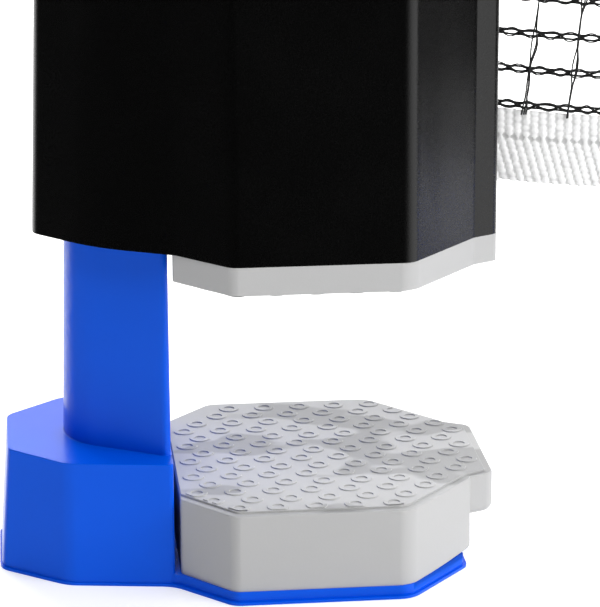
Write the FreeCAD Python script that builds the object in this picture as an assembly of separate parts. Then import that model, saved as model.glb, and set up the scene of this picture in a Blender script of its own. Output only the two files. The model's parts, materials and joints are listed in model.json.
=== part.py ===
"""Retractable table-tennis net set: two clamp posts joined by a roll-up net.

Millimetres, +Z up.  The origin is on the surface that the feet stand on, midway
between the posts, and the net runs along X.  Post A holds the spring reel and post B
the net's fixed end.  Each post is modelled at the origin, with its nub towards +X,
and is then moved to its end of the net.
"""
import FreeCAD
import Part
import math
import os

V = FreeCAD.Vector

# ---- heights of one post, from the surface that the foot stands on ----
foot_plate_t = 2.6
lower_pad_t = 16.2
table_gap = 44.0            # between the pads, as the clamp stands at rest
upper_pad_t = 6.0
housing_h = 154.0           # from the upper pad's top to the cap's underside
cap_t = 3.5
block_above_pad = 7.0       # how far the foot block stands above the lower pad

pad_top_z = foot_plate_t + lower_pad_t
table_z = pad_top_z + table_gap
housing_z = table_z + upper_pad_t
housing_top_z = housing_z + housing_h
block_top_z = pad_top_z + block_above_pad

# ---- plan of the post: an octagonal drum, a nose at -X and a net nub at +X ----
drum_half_y = 36.0
front_half_x = 17.5         # half of the flat front face
partition_x = -28.4         # the column's side of the wall between column and reel
waist_x = partition_x + 0.8  # where the nose joins the drum
waist_half_y = 25.1
shoulder_x = 32.2           # where the nub joins the drum
shoulder_half_y = 18.4
nub_x = 37.3
nub_half_y = 15.6
nose_x = -55.0
nose_half_y = 4.2
cheek_x = -43.0
cheek_half_y = 17.3
nose_r = 4.5                # corner radii of the housing's plan
cheek_r = 40.0
waist_r = 2.0
front_r = 4.0
shoulder_r = 2.0
nub_r = 2.2
draft = 0.036               # the nose and the front lean in by this per mm of height
wall = 1.8
min_corner = 0.4

# ---- pads ----
pad_left_x = partition_x + 1.0
pad_left_half_y = 24.6
upper_pad_left_x = partition_x + 0.3
upper_pad_left_half_y = 24.0
upper_pad_left_r = 1.2
upper_pad_land = 1.8        # the upper pad's left end is hollowed between two lands
upper_pad_hollow = 2.6
pad_left_r = 2.0
pad_front_left_r = 3.0
pad_front_right_r = 5.0
pad_shoulder_r = 2.0
pad_nub_r = 1.8
pad_nub_h = 9.0             # the lower pad's nub is only in its upper part
pad_nub_root = 6.0          # the nub reaches this far into the pad
pad_nub_step = 0.6          # and is this much narrower than the pad's end, each side
sole_margin = 0.3           # the sole stands out this far round the lower pad
sole_short = 1.7            # and stops this far before the pad's end
sole_inside = 0.4           # its outline runs this far inside the foot block's walls
lip_out = 0.7               # a thin lip runs round the sole's bottom edge
lip_t = 0.6

# ---- clamp jaw: foot block and column ----
foot_end_x = -63.3
foot_end_half_y = 11.0
foot_corner_x = -49.9
foot_corner_half_y = 21.8
foot_joint_x = partition_x - 0.2
foot_joint_half_y = 25.0
foot_end_lean = 1.9         # the block's end leans in by this over its height
foot_end_r = 4.0
foot_corner_r = 7.0
foot_joint_r = 1.0
sole_joint_r = 6.0          # where the foot block's outline flows into the sole's
foot_wall = 2.6
column_nose_play = 3.35     # between the column's nose and the housing, at the bottom
column_cheek_play = 2.9
column_flat_play = 0.35    # between the column's flat face and the partition
column_nose_x = nose_x + wall + column_nose_play
column_nose_r = 13.9
column_flat_x = partition_x - column_flat_play
column_half_y = waist_half_y - wall - column_cheek_play
column_nose_lean = 2.85     # the column leans in by these over its height
column_side_lean = 1.7
column_r_lean = 1.6
column_grip = 63.5          # of column inside the housing and pad at rest
column_h = table_z + column_grip + upper_pad_t - block_top_z
column_wall = 2.0
column_corner_r = 1.2
bridge_below_top = 3.0
bridge_t = 3.0

# ---- clamp rod and spring ----
rod_x = (column_nose_x + column_nose_lean + column_flat_x) / 2
rod_r = 2.5
rod_hole_clearance = 0.4
rod_bottom_z = table_z - 4.0
rod_end = 0.8               # the rod stands out this far below its lower nut
rod_top_below = 1.5         # and stops this far below the cap
washer_r = 5.6
washer_t = 1.2
nut_across = 8.0
nut_h = 3.2
shelf_below_top = 10.0
shelf_t = 3.0
spring_wire_r = 0.8
spring_mean_r = 5.2
spring_turns = 12

# ---- housing details ----
partition_t = 1.8
slot_w = 4.5
slot_bottom_z = table_z + 9.0
boss_r = 3.2
screw_r = 1.2
screw_head_r = 2.5
screw_head_h = 1.4
screw_drive_r = 0.7
screw_drive_h = 1.0
screw_len = 9.0
boss_angles = (50.0, 120.0, -120.0, -50.0)   # round the reel, from +X
boss_clearance = 1.3        # between the reel's flange and the bosses
boss_web_t = 1.8
base_plate_t = 2.4
base_clearance = 0.2
cap_margin = 0.6
cap_edge_r = 1.6

# ---- net ----
net_top_z = table_z + 152.5
net_bottom_z = table_z + 14.0
tape_h = 14.7
top_tape_h = 15.5
net_gap = 80.0              # net to be seen between the nubs at rest
mesh_t = 1.1
tape_t = 1.5
post_offset = nub_x + net_gap / 2

# ---- reel ----
spindle_r = 3.0
spindle_floor = 1.0         # of base plate left under the spindle
spindle_end_gap = 0.2
running = 0.06
core_r = 8.0
roll_r = 23.0
flange_r = roll_r + 1.5
flange_t = 1.5
roll_clearance = 0.3
seat_r = 5.5
seat_h = 1.6
reel_washer_t = 0.6
spring_cup_t = 1.2
spring_cup_r = 20.2
cup_gap = 0.6               # between the spring cup and the cap
recoil_band = 0.5
recoil_h = 4.2
recoil_lift = 0.1
recoil_first_r = spindle_r + 1.2
recoil_step = 0.9           # the band's radius grows by this each half turn
recoil_half_turns = 15
anchor_r = 2.5
anchor_x = 27.0
net_roll_gap = 0.4

# ---- foot cover ----
cover_t = 2.4
cover_clearance = 0.35
cover_boss_r = 3.0
cover_boss_gap = 0.8        # between the bosses and the foot's walls
cover_screw_len = 7.0


def unit(a, b):
    """Direction from a to b, as (x, y)."""
    length = math.hypot(b[0] - a[0], b[1] - a[1])
    return ((b[0] - a[0]) / length, (b[1] - a[1]) / length)


def mirrored(front):
    """Whole outline from its front half, listed from its left end to its right end."""
    return front + [(x, -y, r) for x, y, r in reversed(front)]


def inset(corners, distance):
    """An outline moved inwards by distance; a negative distance moves it outwards."""
    moved = []
    for i, (x, y, r) in enumerate(corners):
        d1 = unit(corners[i - 1], (x, y))
        d2 = unit((x, y), corners[(i + 1) % len(corners)])
        along = distance / (1 + d1[0] * d2[0] + d1[1] * d2[1])
        px = x - (d1[1] + d2[1]) * along
        py = y + (d1[0] + d2[0]) * along
        moved.append((px, py, max(r - distance, min_corner)))
    return moved


def outline_wire(corners, z):
    """Closed wire at height z, straight between corners that are rounded by arcs."""
    arcs = []
    for i, (x, y, r) in enumerate(corners):
        d1 = unit(corners[i - 1], (x, y))
        d2 = unit((x, y), corners[(i + 1) % len(corners)])
        turn = math.acos(max(-1.0, min(1.0, d1[0] * d2[0] + d1[1] * d2[1])))
        reach = r * math.tan(turn / 2)
        start = V(x - d1[0] * reach, y - d1[1] * reach, z)
        end = V(x + d2[0] * reach, y + d2[1] * reach, z)
        out = unit((0, 0), (d1[0] - d2[0], d1[1] - d2[1]))
        bulge = r / math.cos(turn / 2) - r
        middle = V(x - out[0] * bulge, y - out[1] * bulge, z)
        arcs.append((start, middle, end))
    edges = []
    for i, (start, middle, end) in enumerate(arcs):
        edges.append(Part.LineSegment(arcs[i - 1][2], start).toShape())
        edges.append(Part.Arc(start, middle, end).toShape())
    return Part.Wire(edges)


def prism(corners, z, height):
    """Straight-sided solid on an outline."""
    return Part.Face(outline_wire(corners, z)).extrude(V(0, 0, height))


def drafted(bottom, top, z0, z1):
    """Solid between two outlines with the same number of corners."""
    return Part.makeLoft([outline_wire(bottom, z0), outline_wire(top, z1)], True, True)


def block(x0, x1, y0, y1, z0, z1):
    return Part.makeBox(x1 - x0, y1 - y0, z1 - z0, V(x0, y0, z0))


def rod(radius, z0, z1, x=0.0, y=0.0):
    return Part.makeCylinder(radius, z1 - z0, V(x, y, z0))


def tube(outer, inner, z0, z1, x=0.0, y=0.0):
    return rod(outer, z0, z1, x, y).cut(rod(inner, z0, z1, x, y))


def hexagon_nut(x, y, z, bore):
    points = []
    for i in range(7):
        angle = math.radians(60 * i)
        reach = nut_across / 2 / math.cos(math.radians(30))
        points.append(V(x + reach * math.cos(angle), y + reach * math.sin(angle), z))
    body = Part.Face(Part.makePolygon(points)).extrude(V(0, 0, nut_h))
    return body.cut(rod(bore, z, z + nut_h, x, y))


# ---- outlines ----

def housing_outline(rise):
    """Housing at a height above its bottom edge: nose and front lean in with draft."""
    lean = draft * rise
    return mirrored([
        (nose_x + lean, -nose_half_y, nose_r),
        (cheek_x + lean, -cheek_half_y, cheek_r),
        (waist_x, -waist_half_y, waist_r),
        (-front_half_x, -drum_half_y + lean, front_r),
        (front_half_x, -drum_half_y + lean, front_r),
        (shoulder_x, -shoulder_half_y, shoulder_r),
        (nub_x, -nub_half_y, nub_r),
    ])


def upper_pad_outline():
    return mirrored([
        (upper_pad_left_x, -upper_pad_left_half_y, upper_pad_left_r),
        (-front_half_x, -drum_half_y, pad_front_left_r),
        (front_half_x, -drum_half_y, pad_front_right_r),
        (shoulder_x, -shoulder_half_y, pad_shoulder_r),
        (nub_x, -nub_half_y, pad_nub_r),
    ])


def lower_pad_outline():
    return mirrored([
        (pad_left_x, -pad_left_half_y, pad_left_r),
        (-front_half_x, -drum_half_y, pad_front_left_r),
        (front_half_x, -drum_half_y, pad_front_right_r),
        (shoulder_x, -shoulder_half_y, pad_shoulder_r),
    ])


def pad_nub_outline():
    root_half_y = shoulder_half_y - pad_nub_step
    return mirrored([
        (shoulder_x - pad_nub_root, -root_half_y, min_corner),
        (shoulder_x, -root_half_y, min_corner),
        (nub_x, -nub_half_y, pad_nub_r),
    ])


def foot_outline(lean):
    return mirrored([
        (foot_end_x + lean, -foot_end_half_y, foot_end_r),
        (foot_corner_x, -foot_corner_half_y, foot_corner_r),
        (foot_joint_x, -foot_joint_half_y, foot_joint_r),
    ])


def sole_outline():
    """One outline round the foot block and the plate under the lower pad."""
    taper = (drum_half_y - shoulder_half_y) / (shoulder_x - front_half_x)
    end_half_y = shoulder_half_y + taper * sole_short + sole_margin
    return mirrored([
        (foot_end_x + sole_inside, -foot_end_half_y, foot_end_r),
        (foot_corner_x, -foot_corner_half_y + sole_inside, foot_corner_r),
        (foot_joint_x, -foot_joint_half_y + sole_inside, sole_joint_r),
        (-front_half_x, -drum_half_y - sole_margin, pad_front_left_r),
        (front_half_x, -drum_half_y - sole_margin, pad_front_right_r),
        (shoulder_x - sole_short, -end_half_y, pad_shoulder_r),
    ])


def base_outline():
    """Base plate: fills the drum of the housing, clear of its walls."""
    return inset(upper_pad_outline(), wall + base_clearance)


# ---- parts of one post ----

def screw(x, y, z, length, up):
    """Countersunk screw whose head's face is at z and whose shank points up or down."""
    way = 1 if up else -1
    shank = Part.makeCylinder(screw_r, length, V(x, y, z), V(0, 0, way))
    head = Part.makeCone(screw_head_r, screw_r, screw_head_h, V(x, y, z), V(0, 0, way))
    drive = Part.makeCylinder(screw_drive_r, screw_drive_h, V(x, y, z), V(0, 0, way))
    return shank.fuse(head).removeSplitter().cut(drive)


def screw_hole(x, y, z, length, up):
    way = 1 if up else -1
    shank = Part.makeCylinder(screw_r, length, V(x, y, z), V(0, 0, way))
    head = Part.makeCone(screw_head_r, screw_r, screw_head_h, V(x, y, z), V(0, 0, way))
    return shank.fuse(head)


def boss_places():
    reach = flange_r + boss_clearance + boss_r
    turns = [math.radians(angle) for angle in boss_angles]
    return [(reach * math.cos(turn), reach * math.sin(turn)) for turn in turns]


def boss(x, y, outer):
    """Screw boss with a web that ties it to the housing's wall."""
    low = housing_z + base_plate_t
    post = rod(boss_r, low, housing_top_z, x, y)
    web = block(0, drum_half_y, -boss_web_t / 2, boss_web_t / 2, low, housing_top_z)
    web.rotate(V(0, 0, 0), V(0, 0, 1), math.degrees(math.atan2(y, x)))
    web.translate(V(x, y, 0))
    return post.fuse(web).common(outer)


def housing():
    outer = drafted(housing_outline(0), housing_outline(housing_h), housing_z, housing_top_z)
    room = drafted(
        inset(housing_outline(0), wall), inset(housing_outline(housing_h), wall),
        housing_z, housing_top_z,
    )
    shell = outer.cut(room)
    wide = drum_half_y + 1
    partition = block(
        partition_x, partition_x + partition_t, -wide, wide, housing_z, housing_top_z
    )
    shelf_z = housing_top_z - shelf_below_top
    shelf = block(nose_x, partition_x, -wide, wide, shelf_z, shelf_z + shelf_t)
    shell = shell.fuse([partition.common(outer), shelf.common(outer)])
    for x, y in boss_places():
        shell = shell.fuse(boss(x, y, outer))
        shell = shell.cut(rod(screw_r, housing_z, housing_z + screw_len, x, y))
        shell = shell.cut(rod(screw_r, housing_top_z - screw_len, housing_top_z, x, y))
    hole = rod_r + running
    shell = shell.cut(rod(hole, shelf_z, shelf_z + shelf_t, rod_x, 0))
    slot = block(
        shoulder_x - 4, nub_x + 1, -slot_w / 2, slot_w / 2, slot_bottom_z, housing_top_z
    )
    return shell.cut(slot)


def top_cap():
    corners = inset(housing_outline(housing_h), -cap_margin)
    cap = prism(corners, housing_top_z, cap_t)
    rim = [e for e in cap.Edges if all(abs(v.Z - housing_top_z - cap_t) < 1e-6 for v in e.Vertexes)]
    cap = cap.makeFillet(min(cap_edge_r, cap_t * 0.6), rim)
    cap = cap.cut(rod(spindle_r + running, housing_top_z, housing_top_z + cap_t / 2))
    for x, y in boss_places():
        cap = cap.cut(screw_hole(x, y, housing_top_z + cap_t, cap_t + 1, False))
    return cap


def cap_screws():
    top = housing_top_z + cap_t
    return Part.makeCompound([screw(x, y, top, screw_len, False) for x, y in boss_places()])


def base_plate():
    plate = prism(base_outline(), housing_z, base_plate_t)
    seat = rod(seat_r, housing_z, housing_z + base_plate_t + seat_h)
    plate = plate.fuse(seat)
    plate = plate.cut(rod(spindle_r, housing_z + spindle_floor, housing_z + base_plate_t + seat_h))
    for x, y in boss_places():
        plate = plate.cut(screw_hole(x, y, housing_z, base_plate_t, True))
    return plate


def base_screws():
    return Part.makeCompound(
        [screw(x, y, housing_z, screw_len, True) for x, y in boss_places()]
    )


def upper_pad():
    half_y = upper_pad_left_half_y - upper_pad_land
    far_x = upper_pad_left_x + upper_pad_hollow
    hollow = block(upper_pad_left_x - 1, far_x, -half_y, half_y, table_z, housing_z)
    return prism(upper_pad_outline(), table_z, upper_pad_t).cut(hollow)


def lower_pad():
    pad = prism(lower_pad_outline(), foot_plate_t, lower_pad_t)
    return pad.fuse(prism(pad_nub_outline(), pad_top_z - pad_nub_h, pad_nub_h)).removeSplitter()


def column_wire(nose, radius, half_y, flat, z):
    """Column section: a round nose, two straight cheeks and a flat face."""
    centre = nose + radius
    reach = math.hypot(flat - centre, half_y)
    slope = math.atan2(half_y, flat - centre)
    swing = math.acos(radius / reach)
    tx = centre + radius * math.cos(slope + swing)
    ty = radius * math.sin(slope + swing)
    points = [V(flat, -half_y, z), V(flat, half_y, z), V(tx, ty, z)]
    cheeks = [
        Part.LineSegment(points[0], points[1]).toShape(),
        Part.LineSegment(points[1], points[2]).toShape(),
        Part.Arc(points[2], V(nose, 0, z), V(tx, -ty, z)).toShape(),
        Part.LineSegment(V(tx, -ty, z), points[0]).toShape(),
    ]
    return Part.Wire(cheeks)


def column_solid(shrink, z0, z1):
    """The column's outer shape, or its hollow when shrink is its wall, from z0 to z1."""
    wires = []
    for z in (z0, z1):
        share = (z - block_top_z) / column_h
        nose = column_nose_x + column_nose_lean * share + shrink
        radius = column_nose_r - column_r_lean * share - shrink
        half_y = column_half_y - column_side_lean * share - shrink
        wires.append(column_wire(nose, radius, half_y, column_flat_x - shrink, z))
    return Part.makeLoft(wires, True, True)


def jaw():
    column_top = block_top_z + column_h
    foot = drafted(foot_outline(0), foot_outline(foot_end_lean), 0, block_top_z)
    plate = prism(sole_outline(), 0, foot_plate_t)
    lip = prism(inset(sole_outline(), -lip_out), 0, lip_t)
    column = column_solid(0, block_top_z - 1, column_top)
    solid = foot.fuse([plate, lip, column])
    edges = []
    for edge in solid.Edges:
        ends = [v.Point for v in edge.Vertexes]
        upright = len(ends) == 2 and min(p.z for p in ends) > block_top_z - 2
        tall = len(ends) == 2 and abs(ends[0].z - ends[1].z) > column_h * 0.9
        if upright and tall and abs(ends[0].x - column_flat_x) < 0.1:
            edges.append(edge)
    solid = solid.makeFillet(column_corner_r, edges)
    hollow_top = column_top - bridge_below_top - bridge_t
    room = drafted(
        inset(foot_outline(0), foot_wall), inset(foot_outline(foot_end_lean), foot_wall),
        0, block_top_z - foot_wall,
    )
    solid = solid.cut(room)
    solid = solid.cut(column_solid(column_wall, block_top_z - foot_wall - 1, hollow_top))
    solid = solid.cut(column_solid(column_wall, column_top - bridge_below_top, column_top + 1))
    hole = rod_r + rod_hole_clearance
    solid = solid.cut(rod(hole, hollow_top - 1, column_top, rod_x, 0))
    for x, y in cover_boss_places():
        solid = solid.fuse(rod(cover_boss_r, cover_t, block_top_z - 1, x, y))
        solid = solid.cut(rod(screw_r, cover_t, cover_screw_len, x, y))
    return solid


def cover_boss_places():
    in_from_wall = foot_wall + cover_boss_r + cover_boss_gap
    end_x = foot_end_x + foot_end_lean + in_from_wall
    joint_x = foot_joint_x - in_from_wall
    side_y = foot_corner_half_y - in_from_wall
    return [(end_x, 0.0), (joint_x, side_y), (joint_x, -side_y)]


def foot_cover():
    cover = prism(inset(foot_outline(0), foot_wall + cover_clearance), 0, cover_t)
    for x, y in cover_boss_places():
        cover = cover.cut(screw_hole(x, y, 0, cover_t, True))
    return cover


def cover_screws():
    return Part.makeCompound(
        [screw(x, y, 0, cover_screw_len, True) for x, y in cover_boss_places()]
    )


def clamp_rod():
    return rod(rod_r, rod_bottom_z, housing_top_z - rod_top_below, rod_x, 0)


def rod_nuts():
    low = hexagon_nut(rod_x, 0, rod_bottom_z + rod_end, rod_r)
    high = hexagon_nut(rod_x, 0, shelf_top_z() + washer_t, rod_r)
    return Part.makeCompound([low, high])


def shelf_top_z():
    return housing_top_z - shelf_below_top + shelf_t


def lower_washer_z():
    return rod_bottom_z + rod_end + nut_h


def rod_washers():
    low = lower_washer_z()
    high = shelf_top_z()
    return Part.makeCompound([
        tube(washer_r, rod_r, low, low + washer_t, rod_x, 0),
        tube(washer_r, rod_r, high, high + washer_t, rod_x, 0),
    ])


def clamp_spring():
    bottom = lower_washer_z() + washer_t + spring_wire_r
    top = block_top_z + column_h - bridge_below_top - bridge_t - spring_wire_r
    height = top - bottom
    helix = Part.makeHelix(height / spring_turns, height, spring_mean_r)
    start = V(spring_mean_r, 0, 0)
    wire = Part.Wire([Part.makeCircle(spring_wire_r, start, V(0, 1, 0))])
    spring = Part.Wire(helix).makePipeShell([wire], True, True)
    spring.translate(V(rod_x, 0, bottom))
    return spring


def spindle():
    return rod(spindle_r, housing_z + spindle_floor, housing_top_z + cap_t / 2 - spindle_end_gap)


# ---- the reel in post A ----

def reel_bottom_z():
    return housing_z + base_plate_t + seat_h + reel_washer_t + running


def upper_flange_z():
    return net_top_z + roll_clearance


def reel_washer():
    low = housing_z + base_plate_t + seat_h
    return tube(seat_r + 1.5, spindle_r + running, low, low + reel_washer_t)


def reel_core():
    bottom = reel_bottom_z()
    top = upper_flange_z() + flange_t
    core = rod(core_r, bottom, top)
    core = core.fuse(rod(flange_r, bottom, bottom + flange_t))
    core = core.fuse(rod(flange_r, upper_flange_z(), top))
    cup = tube(spring_cup_r, spring_cup_r - spring_cup_t, top - flange_t / 2, housing_top_z - cup_gap)
    core = core.fuse(cup)
    return core.cut(rod(spindle_r + running, bottom, top))


def net_roll():
    return tube(roll_r, core_r, net_bottom_z, net_top_z)


def spiral_edges(shift):
    """Half circles whose centres alternate, so that the radius grows each half turn."""
    edges = []
    for i in range(recoil_half_turns):
        radius = recoil_first_r + recoil_step * i + shift
        centre = 0.0 if i % 2 == 0 else recoil_step
        side = 1 if i % 2 == 0 else -1
        first = V(centre + side * radius, 0, 0)
        middle = V(centre, side * radius, 0)
        last = V(centre - side * radius, 0, 0)
        edges.append(Part.Arc(first, middle, last).toShape())
    return edges


def recoil_spring():
    outer = spiral_edges(recoil_band / 2)
    inner = spiral_edges(-recoil_band / 2)
    start = Part.LineSegment(inner[0].firstVertex().Point, outer[0].firstVertex().Point)
    end = Part.LineSegment(inner[-1].lastVertex().Point, outer[-1].lastVertex().Point)
    loop = Part.Wire(Part.__sortEdges__(outer + inner + [start.toShape(), end.toShape()]))
    band = Part.Face(loop).extrude(V(0, 0, recoil_h))
    band.translate(V(-recoil_step / 2, 0, upper_flange_z() + flange_t + recoil_lift))
    return band


def net_anchor():
    return rod(anchor_r, housing_z + base_plate_t, housing_top_z, anchor_x, 0)


# ---- the net, along X at y = 0 ----

def net_strip(thickness, z0, z1):
    left = -post_offset + roll_r + net_roll_gap
    right = post_offset - anchor_x - anchor_r
    return block(left, right, -thickness / 2, thickness / 2, z0, z1)


def tape_top_z():
    return net_bottom_z + tape_h


def export(name, shape):
    """Write one node's STEP file."""
    shape.exportStep("parts/" + name + ".step")


def place_a(shape):
    moved = shape.copy()
    moved.translate(V(-post_offset, 0, 0))
    return moved


def place_b(shape):
    moved = place_a(shape)
    moved.rotate(V(0, 0, 0), V(0, 0, 1), 180)
    return moved


def main():
    os.makedirs("parts", exist_ok=True)
    both = {
        "housing": housing(),
        "top_cap": top_cap(),
        "cap_screws": cap_screws(),
        "base_plate": base_plate(),
        "base_screws": base_screws(),
        "upper_pad": upper_pad(),
        "clamp_rod": clamp_rod(),
        "rod_nuts": rod_nuts(),
        "rod_washers": rod_washers(),
        "clamp_spring": clamp_spring(),
        "jaw": jaw(),
        "lower_pad": lower_pad(),
        "foot_cover": foot_cover(),
        "cover_screws": cover_screws(),
    }
    for name, shape in both.items():
        export(name + "_a", place_a(shape))
        export(name + "_b", place_b(shape))
    reel = {
        "spindle": spindle(),
        "reel_washer": reel_washer(),
        "reel_core": reel_core(),
        "net_roll": net_roll(),
        "recoil_spring": recoil_spring(),
    }
    for name, shape in reel.items():
        export(name, place_a(shape))
    export("net_anchor", place_b(net_anchor()))
    export("bottom_tape", net_strip(tape_t, net_bottom_z, tape_top_z()))
    export("net_mesh", net_strip(mesh_t, tape_top_z(), net_top_z - top_tape_h))
    export("top_tape", net_strip(tape_t, net_top_z - top_tape_h, net_top_z))


main()
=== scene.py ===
"""Looks of the retractable table-tennis net set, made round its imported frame.

Metres, +Z up.  Post A is at -X and holds the reel; post B is at +X.  Each post's own
frame has its nub towards the other post, so post B's pieces are post A's turned round.
"""
import json
import math

import bmesh
import bpy
from mathutils import Matrix, Vector, noise


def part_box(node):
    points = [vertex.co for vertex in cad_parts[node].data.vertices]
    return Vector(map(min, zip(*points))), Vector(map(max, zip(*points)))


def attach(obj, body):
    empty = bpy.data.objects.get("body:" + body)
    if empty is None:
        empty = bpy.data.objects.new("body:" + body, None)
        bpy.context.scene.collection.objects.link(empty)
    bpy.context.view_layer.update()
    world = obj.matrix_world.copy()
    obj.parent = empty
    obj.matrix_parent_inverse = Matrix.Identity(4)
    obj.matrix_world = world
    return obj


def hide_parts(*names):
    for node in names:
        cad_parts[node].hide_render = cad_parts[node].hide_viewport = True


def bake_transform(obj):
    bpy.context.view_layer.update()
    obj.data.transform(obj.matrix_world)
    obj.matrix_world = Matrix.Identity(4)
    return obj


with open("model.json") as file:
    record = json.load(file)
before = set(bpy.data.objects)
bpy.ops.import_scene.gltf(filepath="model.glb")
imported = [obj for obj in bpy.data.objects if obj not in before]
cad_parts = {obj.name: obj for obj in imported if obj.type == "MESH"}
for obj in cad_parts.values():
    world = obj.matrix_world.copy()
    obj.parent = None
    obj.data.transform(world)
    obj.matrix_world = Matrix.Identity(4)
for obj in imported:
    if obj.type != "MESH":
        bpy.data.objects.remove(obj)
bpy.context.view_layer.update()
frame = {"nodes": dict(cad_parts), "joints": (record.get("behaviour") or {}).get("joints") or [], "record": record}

MM = 0.001

# ---- places, from the frame ----
table_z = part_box("upper_pad_a")[0].z
pad_top_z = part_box("lower_pad_a")[1].z
nub_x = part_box("upper_pad_a")[1].x
mounts = {mount["name"]: mount for mount in frame["record"]["mounts"]}
post_a = Vector(mounts["table_top_face_a"]["pos_m"])
pull = next(j for j in frame["joints"] if j["name"] == "net_pull")
net_reach = pull["range_m"][1]
tape_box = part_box("bottom_tape")
block_rise = 7.0 * MM        # of the blue block above the lower pad

# ---- which edges are picked and rounded ----
merge_within = 0.002 * MM
flat_angle = math.radians(0.6)
sharp_angle = math.radians(32)
level_slack = 0.02 * MM      # two heights this close are the same
flat_slack = 0.01 * MM
upright_least = 1.0 * MM     # an edge that rises more than this is an upright one
end_slack = 0.1              # mm past a corner, for the edges round it
hollow_slack = 0.5           # mm past the hollow's side, for the round corner of its mouth
end_strip = 0.9              # mm in from the shoulder, for the edges of the pad's end
fine_steps = 2               # flats across a rounded edge
block_steps = 4
rim_steps = 5
corner_steps = 6

# ---- edges that are smoother than this, in degrees, are shaded as round ----
shell_smooth = 35
pad_smooth = 40
cord_smooth = 60
tape_smooth = 80

# ---- rounded edges of the moulded pieces ----
housing_edge_r = 0.35 * MM
cap_edge_r = 0.3 * MM
block_edge_r = 1.0 * MM
sole_edge_r = 0.5 * MM

# ---- rings on the pads ----
ring_outer = 2.25 * MM
ring_inner = 1.1 * MM
ring_high = 0.2 * MM
ring_steps = 16
ring_sink = 0.05 * MM        # the rings go this far into the pad
ring_slope = 0.13 * MM
ring_rows = 8                # each way from the first ring
ring_columns = 6
ring_pitch = 7.7 * MM
ring_row = 4.87 * MM
ring_shift = 3.05 * MM
ring_first = Vector((-0.9 * MM, -3.2 * MM))
ring_margin = 0.2 * MM       # a ring that crosses the border is cut this far inside it

# ---- pads, from their post's middle: x, y and radius of each corner, in mm ----
gap_end = [(-25.5, -22.2, 0.3), (-28.1, -22.2, 0.4), (-28.1, -24.0, 1.2)]
upper_left = [(-25.5, -26.9, 1.2)]
lower_left = [(-27.4, -24.6, 2.0)]
lower_face_left = [(-28.8, -23.0, 2.2)]    # the gripping face runs out to the pad's left end
front_corners = [(-17.5, -36.0, 3.0), (17.5, -36.0, 5.0)]
shoulder = [(32.2, -18.4, 2.0)]
nub_corner = [(37.3, -15.6, 1.8)]
upper_pad_t = 6.0 * MM
nub_high = 9.0 * MM          # the lower pad's nub is only in its upper part
nub_under_r = 1.8 * MM
pad_end_r = 1.6 * MM
rim_step = 0.45 * MM         # the gripping face stands this far above its rim
rim_ledge = 0.3 * MM         # flat part of the rim, round the gripping face
face_r = 0.15 * MM
least_r = 0.3                # smallest corner of a plan that is moved in, in mm
lower_rim_r = 1.3 * MM
upper_rim_r = 0.9 * MM

# ---- net ----
cord_pitch = 7.42 * MM
cord_first = 1.1 * MM        # lowest cord above the bottom tape
cord_count = 15
cord_grain = 4.0 * MM        # how far along a cord its unevenness changes
strand_noise = 7.0           # how far a cord's strands are to each side in the noise
cord_sway = 0.68 * MM        # of a strand to each side of its cord
cord_depth = 0.26 * MM
cord_link = 4.1 * MM         # length of one link of the chain
link_steps = 8
link_loose = 0.26            # how uneven the links are in length
sway_loose = 0.3             # and in width
link_lag = 1.3               # of each cord's links behind those of the cord below
link_opening = 0.42 * MM     # between the two filaments of a strand, mid-link
strand_r = 0.14 * MM
core_r = 0.22 * MM
core_apart = 0.4 * MM        # from a cord's middle to each of its cores, at a knot
core_open = 0.1 * MM         # how much further apart they are mid-link
stored_cord_r = 0.5 * MM
mesh_pitch = 9.0 * MM
filament_r = 0.17 * MM
filament_spread = 0.62 * MM
filament_front = 0.5 * MM    # the filaments pass this far in front of the tape
filament_tail = 1.9 * MM     # of a cut end over the tape
filament_steps = 6           # from one cord to the next
filament_grain = 6.0 * MM
filament_turn = 1.7          # of each upright's bundle from the one before
filament_open = 0.3          # share of their spread that stays where they cross
filament_loose = 0.3 * MM
bundle_noise = 3.3           # how far apart the uprights are in the noise
net_bow = 4.5 * MM           # the upright filaments bow this far along the net
net_sag = 3.2 * MM
store_start = post_a.x + 24.0 * MM    # the wound net waits between these
store_end = post_a.x + 36.0 * MM
rib_pitch = 1.75 * MM        # of the ribs that the tape's weave makes
rib_high = 0.34 * MM
rib_slant = 0.3
rib_power = 0.8              # below 1, the ribs are wider than their hollows
rib_knot = 1.25 * MM         # between the thick places along a rib
rib_grain = 1.6 * MM
rib_loose = 0.7
knot_turn = 2.4              # of each rib's thick places from those of the rib before
cloth_t = 0.5 * MM
stitch_share = 0.61          # of the tape's height, where its row of stitches is
stitch_w = 0.4 * MM
stitch_deep = 0.9
fray_from = 0.2 * MM         # the lowest edge hangs down where there is a rib
fray_long = 0.35 * MM
tape_column = rib_pitch / 6  # grid of the tapes
tape_row = 0.33 * MM
stored_column = rib_pitch / 2
stored_rows = 8

# ---- surround ----
sky_front = 0.02             # strengths of the surround, as the object sees it
sky_back = 1.6
sky_right = 1.5
sky_left = 0.02
sky_seen = 1.0               # and as the camera sees it
back_edge = (0.4, 0.85)      # where the bright back begins, and where it is full
side_edge = (0.3, 0.9)
floor_reach = 6.0

# ---- view ----
lens_mm = 167.5
sensor_mm = 36.0
near_clip = 0.01
view_from = Vector((-58.0, -554.9, 147.5)) * MM
view_yaw = 0.1029
view_pitch = 0.278
view_roll = 0.0043


# ======== materials ========

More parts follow.
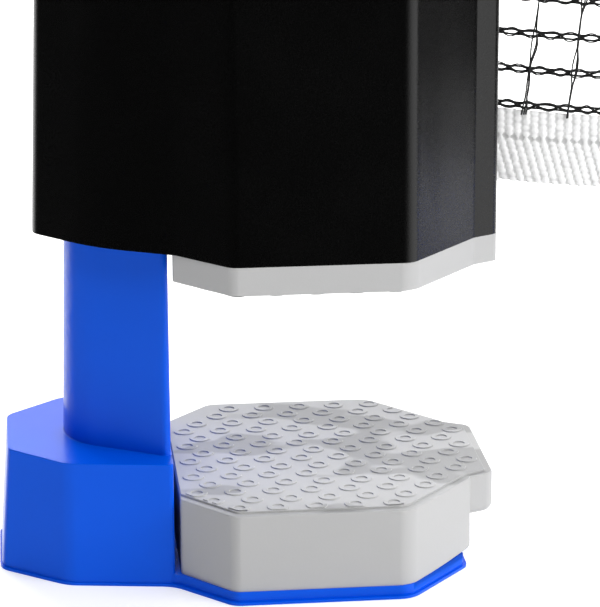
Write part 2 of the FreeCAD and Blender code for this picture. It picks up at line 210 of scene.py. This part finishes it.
class Value:
    """A socket in a sum: each operator adds the Math node that works it out."""

    def __init__(self, tree, socket):
        self.tree = tree
        self.socket = socket

    def sum_with(self, operation, first, second):
        settings = {"operation": operation}
        return self.tree.add("ShaderNodeMath", settings, {0: first, 1: second}).out("Value")

    def out(self, name):
        return Value(self.tree, self.socket.node.outputs[name])

    def __add__(self, other):
        return self.sum_with("ADD", self, other)

    __radd__ = __add__

    def __mul__(self, other):
        return self.sum_with("MULTIPLY", self, other)

    __rmul__ = __mul__

    def __sub__(self, other):
        return self.sum_with("SUBTRACT", self, other)

    def __rsub__(self, other):
        return self.sum_with("SUBTRACT", other, self)


class Tree:
    """A node tree, and the nodes that this object's finishes are made of."""

    def __init__(self, nodes):
        self.nodes = nodes

    def add(self, kind, settings, inputs):
        """Adds a node: its settings first, then the values or links of its sockets."""
        node = self.nodes.nodes.new(kind)
        for key, setting in settings.items():
            setattr(node, key, setting)
        for key, value in inputs.items():
            if isinstance(value, Value):
                self.nodes.links.new(value.socket, node.inputs[key])
            else:
                node.inputs[key].default_value = value
        return Value(self, node.outputs[0])

    def place(self, stretch=(1, 1, 1)):
        """Where a point is on the piece, drawn out along the axes with a small share."""
        place = self.add("ShaderNodeTexCoord", {}, {}).out("Object")
        return self.add("ShaderNodeMapping", {}, {"Vector": place, "Scale": stretch})

    def speckle(self, size, detail=2.0, rough=0.5, stretch=(1, 1, 1)):
        """Noise with grains of about a size in metres, from 0 to 1."""
        inputs = {
            "Vector": self.place(stretch), "Scale": 1 / size, "Detail": detail, "Roughness": rough,
        }
        return self.add("ShaderNodeTexNoise", {}, inputs).out("Fac")

    def ramp(self, value, low, high):
        """0 below low, 1 above high and smooth between them."""
        settings = {"interpolation_type": "SMOOTHSTEP"}
        inputs = {"Value": value, "From Min": low, "From Max": high}
        return self.add("ShaderNodeMapRange", settings, inputs).out("Result")

    def blend(self, amount, first, second):
        """A colour between two colours."""
        mixed = self.add("ShaderNodeMix", {"data_type": "RGBA"}, {0: amount, 6: first, 7: second})
        return Value(self, mixed.socket.node.outputs[2])


class Finish(Tree):
    """One material: its shader's plain numbers, and the nodes that vary them."""

    def __init__(self, name, **numbers):
        self.material = bpy.data.materials.new(name)
        self.material.use_nodes = True
        super().__init__(self.material.node_tree)
        self.shader = self.nodes.nodes["Principled BSDF"]
        for key, number in numbers.items():
            self.shader.inputs[key.replace("_", " ")].default_value = number

    def feed(self, socket, value):
        self.nodes.links.new(value.socket, self.shader.inputs[socket])

    def bump(self, height, distance, strength=1.0):
        inputs = {"Height": height, "Distance": distance, "Strength": strength}
        self.feed("Normal", self.add("ShaderNodeBump", {}, inputs).out("Normal"))


def grey(level):
    return (level, level, level, 1.0)


def black_shell():
    """Black plastic with a fine leather grain from its mould."""
    finish = Finish("black_shell", Specular_IOR_Level=0.45)
    grain = finish.speckle(0.26 * MM, 3.0, 0.6)
    cloud = finish.speckle(16 * MM)
    finish.feed("Base Color", finish.blend(cloud, grey(0.0008), grey(0.002)))
    finish.feed("Roughness", 0.2 + 0.04 * cloud + 0.1 * grain)
    finish.bump(grain, 0.035 * MM, 0.8)
    return finish.material


def clamp_blue():
    """Smooth blue plastic."""
    finish = Finish("clamp_blue", Specular_IOR_Level=0.2)
    grain = finish.speckle(0.22 * MM, 3.0, 0.6)
    cloud = finish.speckle(22 * MM)
    finish.feed("Base Color", finish.blend(cloud, (0.0, 0.09, 0.73, 1), (0.0, 0.106, 0.83, 1)))
    finish.feed("Roughness", 0.2 + 0.04 * cloud + 0.06 * grain)
    finish.bump(grain, 0.012 * MM, 0.5)
    return finish.material


def pad_rubber(name, light, dark):
    """Soft rubber: handling has left darker patches on the faces that grip the table."""
    finish = Finish(name, Specular_IOR_Level=0.3)
    patch = finish.ramp(finish.speckle(17 * MM, 2.5, 0.45, (0.7, 1.0, 1.0)), 0.51, 0.56)
    normal = finish.add("ShaderNodeNewGeometry", {}, {}).out("Normal")
    upright = finish.add("ShaderNodeSeparateXYZ", {}, {"Vector": normal}).out("Z")
    flat = finish.ramp(upright * upright, 0.9, 0.99)
    worn = patch * flat * 0.85
    finish.feed("Base Color", finish.blend(worn, grey(light), grey(dark)))
    grain = finish.speckle(0.6 * MM, 3.0)
    finish.feed("Roughness", 0.58 + 0.12 * grain - 0.08 * worn)
    finish.bump(grain, 0.03 * MM, 0.5)
    return finish.material


def steel(name, level, rough):
    finish = Finish(name, Metallic=1.0)
    streak = finish.speckle(0.8 * MM, 3.0)
    finish.feed("Base Color", finish.blend(streak, grey(level * 0.85), grey(level)))
    finish.feed("Roughness", rough + 0.15 * streak)
    finish.bump(streak, 0.01 * MM, 0.4)
    return finish.material


def black_screws():
    finish = Finish("black_screws", Metallic=0.6)
    grain = finish.speckle(0.3 * MM)
    finish.feed("Base Color", finish.blend(grain, grey(0.015), grey(0.03)))
    finish.feed("Roughness", 0.35 + 0.15 * grain)
    return finish.material


def reel_plastic():
    finish = Finish("reel_plastic")
    grain = finish.speckle(0.4 * MM)
    finish.feed("Base Color", finish.blend(grain, grey(0.09), grey(0.11)))
    finish.feed("Roughness", 0.4 + 0.1 * grain)
    return finish.material


def net_cord():
    finish = Finish("net_cord", Specular_IOR_Level=0.3, Sheen_Weight=0.15)
    fibre = finish.speckle(0.12 * MM, 3.0)
    finish.feed("Base Color", finish.blend(fibre, grey(0.004), grey(0.018)))
    finish.feed("Roughness", 0.5 + 0.2 * fibre)
    finish.bump(fibre, 0.04 * MM, 0.6)
    return finish.material


def net_tape():
    """White woven tape: its relief is in the mesh, and painted shade greys its hollows."""
    finish = Finish("net_tape", Specular_IOR_Level=0.2, Sheen_Weight=0.25)
    relief = finish.add("ShaderNodeAttribute", {"attribute_name": "relief"}, {}).out("Fac")
    thread = finish.speckle(0.22 * MM, 3.0)
    # painted shade: the base colour goes from white on the ribs to grey in the low places of the relief and at the
    # stitches
    painted_hollow_shade = finish.ramp(relief, 0.0, 0.55)
    finish.feed("Base Color", finish.blend(painted_hollow_shade, grey(0.5), grey(0.97)))
    finish.feed("Roughness", 0.75 + 0.15 * thread)
    finish.bump(thread, 0.06 * MM, 0.7)
    return finish.material


def make_finishes():
    return {
        "black_shell": black_shell(),
        "clamp_blue": clamp_blue(),
        "upper_pad_grey": pad_rubber("upper_pad_grey", 0.47, 0.38),
        "lower_pad_grey": pad_rubber("lower_pad_grey", 0.48, 0.3),
        "bright_steel": steel("bright_steel", 0.62, 0.28),
        "spring_steel": steel("spring_steel", 0.42, 0.3),
        "black_screws": black_screws(),
        "reel_plastic": reel_plastic(),
        "net_cord": net_cord(),
        "net_tape": net_tape(),
    }


def paint(piece, slot_name):
    piece.data.materials.clear()
    piece.data.materials.append(finishes[slot_name])


def paint_nodes():
    """Gives every CAD node the finish of its slot."""
    for row in frame["record"]["subparts"]:
        mesh = frame["nodes"][row["node"]].data
        mesh.materials.clear()
        mesh.materials.append(finishes[row["material_slot"]])


# ======== mesh tools ========

def clean_copy(node):
    """A CAD node's shape as whole faces, ready for its edges to be rounded."""
    shape = bmesh.new()
    shape.from_mesh(frame["nodes"][node].data)
    bmesh.ops.remove_doubles(shape, verts=shape.verts, dist=merge_within)
    bmesh.ops.dissolve_limit(
        shape, angle_limit=flat_angle, verts=shape.verts, edges=shape.edges
    )
    return shape


def sharp_edges(shape, test=None):
    found = []
    for edge in shape.edges:
        if edge.is_manifold and edge.calc_face_angle() > sharp_angle:
            if test is None or test(edge):
                found.append(edge)
    return found


def round_edges(shape, edges, radius, steps):
    bmesh.ops.bevel(
        shape, geom=edges, offset=radius, offset_type="OFFSET", segments=steps,
        profile=0.5, affect="EDGES", clamp_overlap=True, material=-1,
    )


def to_piece(shape, name, slot_name, smooth):
    mesh = bpy.data.meshes.new(name)
    shape.to_mesh(mesh)
    shape.free()
    mesh.shade_smooth()
    mesh.set_sharp_from_angle(angle=math.radians(smooth))
    piece = bpy.data.objects.new(name, mesh)
    bpy.context.scene.collection.objects.link(piece)
    paint(piece, slot_name)
    return piece


def keep_flats(piece):
    """Shades a rounded piece so that its large faces stay flat up to their rounded edges."""
    flats = piece.modifiers.new("flats", "WEIGHTED_NORMAL")
    flats.mode = "FACE_AREA"
    flats.keep_sharp = True


def add_shape(shape, other):
    """Adds another shape to one, and frees it."""
    mesh = bpy.data.meshes.new("added")
    other.to_mesh(mesh)
    other.free()
    shape.from_mesh(mesh)
    bpy.data.meshes.remove(mesh)


def level_edge(z):
    """A test for edges that lie at a height."""
    return lambda edge: all(abs(v.co.z - z) < level_slack for v in edge.verts)


# ======== housing, cap and jaw ========

def moulded(node, name, slot_name, radius):
    shape = clean_copy(node)
    round_edges(shape, sharp_edges(shape), radius, fine_steps)
    piece = to_piece(shape, name, slot_name, shell_smooth)
    keep_flats(piece)
    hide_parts(node)
    return piece


def jaw_piece(post):
    """The blue jaw, with round edges round the top of its block and round its sole."""
    shape = clean_copy("jaw_" + post)
    block_top = pad_top_z + block_rise
    round_edges(shape, sharp_edges(shape, level_edge(block_top)), block_edge_r, block_steps)
    round_edges(shape, sharp_edges(shape, level_edge(0.0)), sole_edge_r, fine_steps)
    piece = to_piece(shape, "clamp_jaw_" + post, "clamp_blue", shell_smooth)
    keep_flats(piece)
    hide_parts("jaw_" + post)
    return piece


# ======== pads ========

def ring_mesh():
    """One raised ring: a low profile turned round its own axis."""
    shape = bmesh.new()
    profile = [
        (ring_outer, -ring_sink), (ring_outer - ring_slope, ring_high),
        (ring_inner + ring_slope, ring_high), (ring_inner, -ring_sink),
    ]
    verts = [shape.verts.new((r, 0, z)) for r, z in profile]
    edges = [shape.edges.new(pair) for pair in zip(verts, verts[1:] + verts[:1])]
    bmesh.ops.spin(
        shape, geom=verts + edges, cent=(0, 0, 0), axis=(0, 0, 1),
        angle=2 * math.pi, steps=ring_steps, use_merge=True,
    )
    bmesh.ops.recalc_face_normals(shape, faces=shape.faces)
    mesh = bpy.data.meshes.new("ring")
    shape.to_mesh(mesh)
    shape.free()
    return mesh


def both_sides(half):
    """A whole plan, anticlockwise, from its front half."""
    return half + [(x, -y, r) for x, y, r in reversed(half)]


def corner_turns(corners):
    """Each corner of a plan with the directions of the sides that meet there."""
    places = [Vector(corner[:2]) for corner in corners]
    for i, corner in enumerate(corners):
        came = (places[i] - places[i - 1]).normalized()
        goes = (places[(i + 1) % len(places)] - places[i]).normalized()
        yield corner, came, goes


def inset(corners, gap):
    """A plan moved in by a gap in mm all round."""
    moved = []
    for (x, y, r), came, goes in corner_turns(corners):
        push = Vector((-came.y - goes.y, came.x + goes.x)) * gap / (1 + came.dot(goes))
        radius = max(least_r, r - gap) if came.cross(goes) > 0 else r + gap
        moved.append((x + push.x, y + push.y, radius))
    return moved


def plan_block(corners, z0, z1):
    """A block with rounded corners, upright on its plan."""
    shape = bmesh.new()
    verts = [shape.verts.new((x * MM, y * MM, z0)) for x, y, r in corners]
    shape.faces.new(verts)
    for vert, ((x, y, r), came, goes) in zip(verts, corner_turns(corners)):
        offset = r * MM * math.tan(came.angle(goes) / 2)
        bmesh.ops.bevel(
            shape, geom=[vert], offset=offset, offset_type="OFFSET", segments=corner_steps,
            profile=0.5, affect="VERTICES", material=-1,
        )
    walls = bmesh.ops.extrude_face_region(shape, geom=shape.faces[:])
    top = [item for item in walls["geom"] if isinstance(item, bmesh.types.BMVert)]
    bmesh.ops.translate(shape, vec=(0, 0, z1 - z0), verts=top)
    bmesh.ops.recalc_face_normals(shape, faces=shape.faces[:])
    return shape


def add_nub(shape, z1):
    """Draws the upper part of the pad's end wall out into the nub, and rounds it."""
    nub_z = z1 - nub_high
    bmesh.ops.bisect_plane(
        shape, geom=shape.verts[:] + shape.edges[:] + shape.faces[:],
        plane_co=(0, 0, nub_z), plane_no=(0, 0, 1),
    )
    wall = next(
        f for f in shape.faces if f.normal.x > 0.999 and f.calc_center_median().z > nub_z
    )
    root = {v for v in wall.verts if v.co.z > z1 - flat_slack}
    out_x, out_y, out_r = nub_corner[0]
    end = bmesh.ops.extrude_discrete_faces(shape, faces=[wall])["faces"][0]
    for vert in end.verts:
        vert.co.x = out_x * MM
        vert.co.y = math.copysign(out_y * MM, vert.co.y)
    flush = [e for e in shape.edges if set(e.verts) == root]
    bmesh.ops.dissolve_edges(shape, edges=flush)
    upright = sharp_edges(
        shape, lambda e: all(v.co.x > (out_x - end_slack) * MM for v in e.verts)
        and abs(e.verts[0].co.z - e.verts[1].co.z) > upright_least
    )
    round_edges(shape, upright, out_r * MM, corner_steps)
    under = [e for e in sharp_edges(shape, level_edge(nub_z)) if e.is_convex]
    round_edges(shape, under, nub_under_r, rim_steps)


def hollow_edge(edge):
    """Whether an edge is in the hollow at the upper pad's left end."""
    x, y, r = gap_end[0]
    reach_x = (x + end_slack) * MM
    reach_y = (abs(y) + hollow_slack) * MM
    return all(v.co.x < reach_x and abs(v.co.y) < reach_y for v in edge.verts)


def pad_shape(lower):
    """A pad as it stands when its gripping face looks up, its top at a height of 0."""
    right = shoulder + nub_corner
    left = lower_face_left if lower else upper_left
    rim_r = lower_rim_r if lower else upper_rim_r
    if lower:
        thick = pad_top_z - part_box("lower_pad_a")[0].z
        shape = plan_block(both_sides(lower_left + front_corners + shoulder), -thick, 0.0)
        add_nub(shape, 0.0)
        end = (shoulder[0][0] - end_strip) * MM
        low = sharp_edges(shape, level_edge(-thick))
        end_edges = [e for e in low if all(v.co.x > end for v in e.verts)]
        round_edges(shape, end_edges, pad_end_r, rim_steps)
    else:
        shape = plan_block(both_sides(gap_end + front_corners + right), -upper_pad_t, 0.0)
    for vert in shape.verts:
        if vert.co.z > -flat_slack:
            vert.co.z = -rim_step
    rim = sharp_edges(shape, level_edge(-rim_step))
    round_edges(shape, [e for e in rim if not hollow_edge(e)], rim_r, rim_steps)
    face_plan = inset(both_sides(left + front_corners + right), (rim_r + rim_ledge) / MM)
    face = plan_block(face_plan, -2 * rim_step, 0.0)
    round_edges(face, sharp_edges(face, level_edge(0.0)), face_r, fine_steps)
    top = max(face.faces, key=lambda f: f.calc_center_median().z)
    corners = [v.co.xy.copy() for v in top.verts]
    add_shape(shape, face)
    add_rings(shape, corners)
    return shape


def inside(point, corners):
    """Whether a point is within an outline."""
    odd = False
    for a, b in zip(corners, corners[1:] + corners[:1]):
        if (a.y > point.y) != (b.y > point.y):
            if point.x < a.x + (b.x - a.x) * (point.y - a.y) / (b.y - a.y):
                odd = not odd
    return odd


def nearest_on(point, a, b):
    """The point of a straight side that is nearest to a point."""
    along = (point - a).dot(b - a) / max((b - a).length_squared, 1e-12)
    return a + (b - a) * min(1.0, max(0.0, along))


def ring_places(corners):
    """Ring centres in staggered rows, wherever a centre is over the flat face."""
    places = []
    for row in range(-ring_rows, ring_rows + 1):
        shift = ring_shift if row % 2 else 0.0
        for column in range(-ring_columns, ring_columns + 1):
            step = Vector((column * ring_pitch + shift, row * ring_row))
            point = ring_first + step
            if inside(point, corners):
                places.append(point)
    return places


def cut_to_face(shape, point, corners):
    """Cuts one ring where it crosses the border of the flat face."""
    for a, b in zip(corners, corners[1:] + corners[:1]):
        near = nearest_on(point, a, b)
        if (near - point).length > ring_outer:
            continue
        side = (near - point).normalized() if (near - point).length > 1e-7 else Vector((1, 0))
        border = near - side * ring_margin
        bmesh.ops.bisect_plane(
            shape, geom=shape.verts[:] + shape.edges[:] + shape.faces[:],
            plane_co=(border.x, border.y, 0), plane_no=(side.x, side.y, 0), clear_outer=True,
        )
    bmesh.ops.holes_fill(shape, edges=[e for e in shape.edges if e.is_boundary], sides=12)


def add_rings(shape, corners):
    for point in ring_places(corners):
        ring = bmesh.new()
        ring.from_mesh(ring_pattern)
        bmesh.ops.translate(ring, vec=(point.x, point.y, 0), verts=ring.verts)
        cut_to_face(ring, point, corners)
        add_shape(shape, ring)


def pad_piece(node, name, slot_name, post, lower):
    """A pad in its place: the upper ones look down, and those of post B are turned round."""
    shape = pad_shape(lower)
    if not lower:
        bmesh.ops.scale(shape, vec=(1, 1, -1), verts=shape.verts)
        bmesh.ops.reverse_faces(shape, faces=shape.faces)
    side = 1 if post == "a" else -1
    place = Matrix.Translation((side * post_a.x, 0, pad_top_z if lower else table_z))
    turn = Matrix.Rotation(0.0 if post == "a" else math.pi, 4, "Z")
    bmesh.ops.transform(shape, matrix=place @ turn, verts=shape.verts)
    piece = to_piece(shape, name, slot_name, pad_smooth)
    keep_flats(piece)
    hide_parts(node)
    return piece


# ======== net ========

def sag_at(x):
    """How far the net hangs down between the nubs."""
    share = x / nub_x
    return -net_sag * max(0.0, 1 - share * share)


def threads(name, routes, radius, detail):
    """Round threads along routes, as one mesh."""
    curve = bpy.data.curves.new(name, "CURVE")
    curve.dimensions = "3D"
    curve.bevel_depth = radius
    curve.bevel_resolution = detail
    curve.use_fill_caps = True
    for route in routes:
        spline = curve.splines.new("POLY")
        spline.points.add(len(route) - 1)
        for point, place in zip(spline.points, route):
            point.co = (*place, 1)
    holder = bpy.data.objects.new(name + "_curve", curve)
    mesh = bpy.data.meshes.new_from_object(holder)
    bpy.data.objects.remove(holder)
    shape = bmesh.new()
    shape.from_mesh(mesh)
    bpy.data.meshes.remove(mesh)
    return shape


def cord_heights():
    return [tape_box[1].z + cord_first + i * cord_pitch for i in range(cord_count)]


def link_turn(x, z, loose):
    return math.pi * (x / cord_link + link_loose * loose) + link_lag * z / cord_pitch


def strand(z, x0, x1, side, offset):
    """A filament of a chain-stitched cord: the strands swap sides at the end of each link."""
    steps = round((x1 - x0) / (cord_link / link_steps))
    route = []
    for i in range(steps + 1):
        x = x0 + (x1 - x0) * i / steps
        loose = noise.noise(Vector((x / cord_grain, z / MM, side * strand_noise)))
        turn = link_turn(x, z, loose)
        swing = math.sin(turn)
        gap = offset * link_opening * (0.5 + 0.5 * abs(swing))
        rise = side * cord_sway * swing * (1 + sway_loose * loose) + gap
        route.append((x, side * cord_depth * math.cos(turn), z + rise + sag_at(x)))
    return route


def core(z, x0, x1, side):
    """A loose strand inside a cord: two of them fill its knots."""
    steps = round((x1 - x0) / (cord_link / link_steps))
    route = []
    for i in range(steps + 1):
        x = x0 + (x1 - x0) * i / steps
        sway = side * (core_apart + core_open * abs(math.sin(link_turn(x, z, 0.0))))
        route.append((x, 0, z + sway + sag_at(x)))
    return route


def upright(x, side, number):
    """One of the three filaments that tie the cords together, bowed along the net."""
    low = tape_box[1].z + cord_first - filament_tail
    high = cord_heights()[-1] + filament_tail
    steps = cord_count * filament_steps
    route = []
    for i in range(steps + 1):
        z = low + (high - low) * i / steps
        share = (z - low) / (high - low)
        loose = noise.noise(Vector((number * bundle_noise, z / filament_grain, side)))
        twist = math.pi * (z - low) / cord_pitch + number * filament_turn
        cross = max(0.0, math.sin(twist)) + filament_open
        spread = side * filament_spread * cross * (0.6 + 0.5 * loose)
        bow = net_bow * math.sin(math.pi * share)
        px = x + bow + spread + filament_loose * loose
        route.append((px, -filament_front + side * filament_r, z + sag_at(x)))
    return route


def span_net():
    """The net that shows between the posts at rest, in full detail."""
    x0 = store_end
    x1 = tape_box[1].x
    sides = [(side, offset) for side in (-1, 1) for offset in (-0.5, 0.5)]
    strands = [strand(z, x0, x1, *side) for z in cord_heights() for side in sides]
    shape = threads("cords", strands, strand_r, 1)
    cores = [core(z, x0, x1, side) for z in cord_heights() for side in (-1, 1)]
    add_shape(shape, threads("cores", cores, core_r, 0))
    piece = to_piece(shape, "net_span", "net_cord", cord_smooth)
    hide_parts("net_mesh")
    return piece


def span_ties():
    """The upright filaments of the net that shows at rest."""
    last = tape_box[1].x - net_bow
    count = int((last - store_end) / mesh_pitch)
    places = [store_end + i * mesh_pitch for i in range(count + 1)]
    routes = [upright(x, side, i) for i, x in enumerate(places) for side in (-1, 0.6, 1)]
    shape = threads("ties", routes, filament_r, 1)
    return to_piece(shape, "net_ties", "net_cord", cord_smooth)


def weave_relief(along, up, height):
    """Relief of the woven tape, 0 to 1: upright ribs at the top and slanting ones below."""
    split = stitch_share * height
    slant = max(0.0, split - up) * rib_slant
    phase = (along - slant) / rib_pitch
    rib = abs(math.cos(math.pi * phase)) ** rib_power
    number = math.floor(phase + 0.5)
    knot = 0.5 + 0.5 * math.cos(2 * math.pi * up / rib_knot + number * knot_turn)
    loose = noise.noise(Vector((along / rib_grain, up / rib_grain, 3.0)))
    stitch = math.exp(-((up - split) / stitch_w) ** 2) * abs(math.sin(math.pi * phase))
    return max(0.0, rib * (0.5 + 0.4 * knot) * (1 + rib_loose * loose) - stitch_deep * stitch)


def tape_grid(x0, x1, z0, z1, columns, rows):
    """A flat upright grid between two corners, in the plane of the net."""
    shape = bmesh.new()
    bmesh.ops.create_grid(shape, x_segments=columns, y_segments=rows, size=0.5)
    turn = Matrix.Rotation(math.pi / 2, 4, "X")
    stretch = Matrix.Diagonal((x1 - x0, 1, z1 - z0, 1))
    centre = Matrix.Translation(((x0 + x1) / 2, 0, (z0 + z1) / 2))
    bmesh.ops.transform(shape, matrix=centre @ stretch @ turn, verts=shape.verts)
    return shape


def weave(shape, z0, z1, frayed):
    """Raises the ribs of a tape grid and gives it its thickness."""
    layer = shape.verts.layers.float.new("relief")
    for vert in shape.verts:
        up = vert.co.z - z0
        relief = weave_relief(vert.co.x, up, z1 - z0)
        # the relief is kept for the tape's finish, which paints shade into its low places
        vert[layer] = relief
        vert.co.y -= rib_high * (relief - 0.5)
        if frayed and up < fray_from:
            vert.co.z -= fray_long * relief
    bmesh.ops.solidify(shape, geom=shape.faces[:], thickness=cloth_t)


def span_tape(name, node, frayed):
    """A tape of the net that shows at rest, hanging down with it."""
    low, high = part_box(node)
    columns = round((high.x - store_end) / tape_column)
    rows = round((high.z - low.z) / tape_row)
    shape = tape_grid(store_end, high.x, low.z, high.z, columns, rows)
    weave(shape, low.z, high.z, frayed)
    for vert in shape.verts:
        vert.co.z += sag_at(vert.co.x)
    piece = to_piece(shape, name, "net_tape", tape_smooth)
    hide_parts(node)
    return piece


def stored_x(share):
    """Where a share of the wound net waits, so that it comes out evenly as it is pulled."""
    ease = 0.5 - math.sin(math.asin(max(-1.0, min(1.0, 1 - 2 * share))) / 3)
    return store_start + (store_end - store_start) * ease


def store(shape):
    """Packs a shape that is as long as the net's whole reach into the housing."""
    for vert in shape.verts:
        vert.co.x = stored_x(max(0.0, min(1.0, vert.co.x / net_reach)))


def stored_net():
    """The rest of the net, which waits wound in the housing."""
    heights = cord_heights()
    count = round(net_reach / mesh_pitch)
    cords = [[(net_reach * i / count, 0, z) for i in range(count + 1)] for z in heights]
    shape = threads("stored_cords", cords, stored_cord_r, 0)
    low = heights[0] - filament_tail
    high = heights[-1] + filament_tail
    routes = []
    for i in range(count):
        for side in (-1, 1):
            x = net_reach * i / count
            bend = side * filament_spread * 0.6
            route = [
                (x + bend * math.cos(math.pi * (z - low) / cord_pitch), side * strand_r, z)
                for z in [low + (high - low) * k / cord_count for k in range(cord_count + 1)]
            ]
            routes.append(route)
    add_shape(shape, threads("stored_ties", routes, filament_r, 0))
    store(shape)
    return to_piece(shape, "net_stored", "net_cord", cord_smooth)


def stored_tape(name, node):
    low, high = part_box(node)
    columns = round(net_reach / stored_column)
    shape = tape_grid(0.0, net_reach, low.z, high.z, columns, stored_rows)
    weave(shape, low.z, high.z, False)
    store(shape)
    return to_piece(shape, name, "net_tape", tape_smooth)


# ======== stage ========

def make_floor():
    shape = bmesh.new()
    bmesh.ops.create_grid(shape, x_segments=1, y_segments=1, size=floor_reach)
    mesh = bpy.data.meshes.new("floor")
    shape.to_mesh(mesh)
    shape.free()
    floor = bpy.data.objects.new("floor", mesh)
    bpy.context.scene.collection.objects.link(floor)
    finish = Finish(
        "pale_floor", Base_Color=grey(0.85), Roughness=0.9, Specular_IOR_Level=0.0,
        Emission_Color=grey(1.0), Emission_Strength=0.35,
    )
    mesh.materials.append(finish.material)
    floor.visible_glossy = False


def soft_light(name, place, target, size, watts):
    lamp = bpy.data.lights.new(name, "AREA")
    lamp.shape = "RECTANGLE"
    lamp.size = size[0]
    lamp.size_y = size[1]
    lamp.energy = watts
    holder = bpy.data.objects.new(name, lamp)
    holder.location = place
    holder.rotation_euler = (Vector(target) - Vector(place)).to_track_quat("-Z", "Y").to_euler()
    holder.visible_glossy = False
    bpy.context.scene.collection.objects.link(holder)


def make_light():
    aim = (post_a.x, 0, 0.08)
    soft_light("key_right", (0.7, -0.42, 0.45), aim, size=(0.5, 0.7), watts=4.4)
    soft_light("top_front", (-0.05, -0.45, 1.0), aim, size=(0.9, 0.5), watts=5.6)
    soft_light("back", (-0.1, 0.7, 0.4), aim, size=(0.8, 0.4), watts=8)


def make_world():
    """A white surround behind and to the right, and a dark room in front."""
    world = bpy.data.worlds.new("studio")
    bpy.context.scene.world = world
    world.use_nodes = True
    tree = Tree(world.node_tree)
    way = tree.add("ShaderNodeTexCoord", {}, {}).out("Generated")
    split = tree.add("ShaderNodeSeparateXYZ", {}, {"Vector": way})
    back = tree.ramp(split.out("Y"), *back_edge)
    right = tree.ramp(split.out("X"), *side_edge) * (sky_right * (1 - back))
    left = tree.ramp(-1 * split.out("X"), *side_edge) * (sky_left * (1 - back))
    glow = sky_front + sky_back * back + right + left
    seen = tree.add("ShaderNodeLightPath", {}, {}).out("Is Camera Ray")
    strength = glow * (1 - seen) + sky_seen * seen
    background = world.node_tree.nodes["Background"]
    background.inputs["Color"].default_value = grey(1.0)
    world.node_tree.links.new(strength.socket, background.inputs["Strength"])


def make_camera():
    """A long lens, a little above the net and in front of post A."""
    camera = bpy.data.cameras.new("camera")
    camera.lens = lens_mm
    camera.sensor_width = sensor_mm
    camera.sensor_fit = "AUTO"
    camera.clip_start = near_clip
    holder = bpy.data.objects.new("camera", camera)
    ahead = Vector((
        math.sin(view_yaw) * math.cos(view_pitch),
        math.cos(view_yaw) * math.cos(view_pitch),
        -math.sin(view_pitch),
    ))
    right = Vector((math.cos(view_yaw), -math.sin(view_yaw), 0))
    down = ahead.cross(right)
    side = math.cos(view_roll) * right + math.sin(view_roll) * down
    up = -(math.cos(view_roll) * down - math.sin(view_roll) * right)
    turn = Matrix((side, up, -ahead)).transposed()
    holder.matrix_world = Matrix.Translation(post_a + view_from) @ turn.to_4x4()
    bpy.context.scene.collection.objects.link(holder)
    bpy.context.scene.camera = holder


# ======== making ========

finishes = make_finishes()
ring_pattern = ring_mesh()
paint_nodes()
make_camera()
make_light()
make_world()
make_floor()
bpy.context.scene.view_settings.view_transform = "Standard"

for post in ("a", "b"):
    body = "post_" + post
    jaw = "jaw_" + post
    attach(moulded("housing_" + post, "post_housing_" + post, "black_shell", housing_edge_r), body)
    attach(moulded("top_cap_" + post, "post_cap_" + post, "black_shell", cap_edge_r), body)
    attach(jaw_piece(post), jaw)
    upper = pad_piece("upper_pad_" + post, "grip_pad_upper_" + post, "upper_pad_grey", post, False)
    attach(upper, body)
    lower = pad_piece("lower_pad_" + post, "grip_pad_lower_" + post, "lower_pad_grey", post, True)
    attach(lower, jaw)

net = span_net()
ties = span_ties()
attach(net, "post_b")
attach(ties, "post_b")
low_tape = span_tape("tape_low", "bottom_tape", True)
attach(low_tape, "post_b")
high_tape = span_tape("tape_high", "top_tape", False)
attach(high_tape, "post_b")

wound = [
    stored_net(),
    stored_tape("tape_low_stored", "bottom_tape"),
    stored_tape("tape_high_stored", "top_tape"),
]
for piece in wound:
    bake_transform(piece)
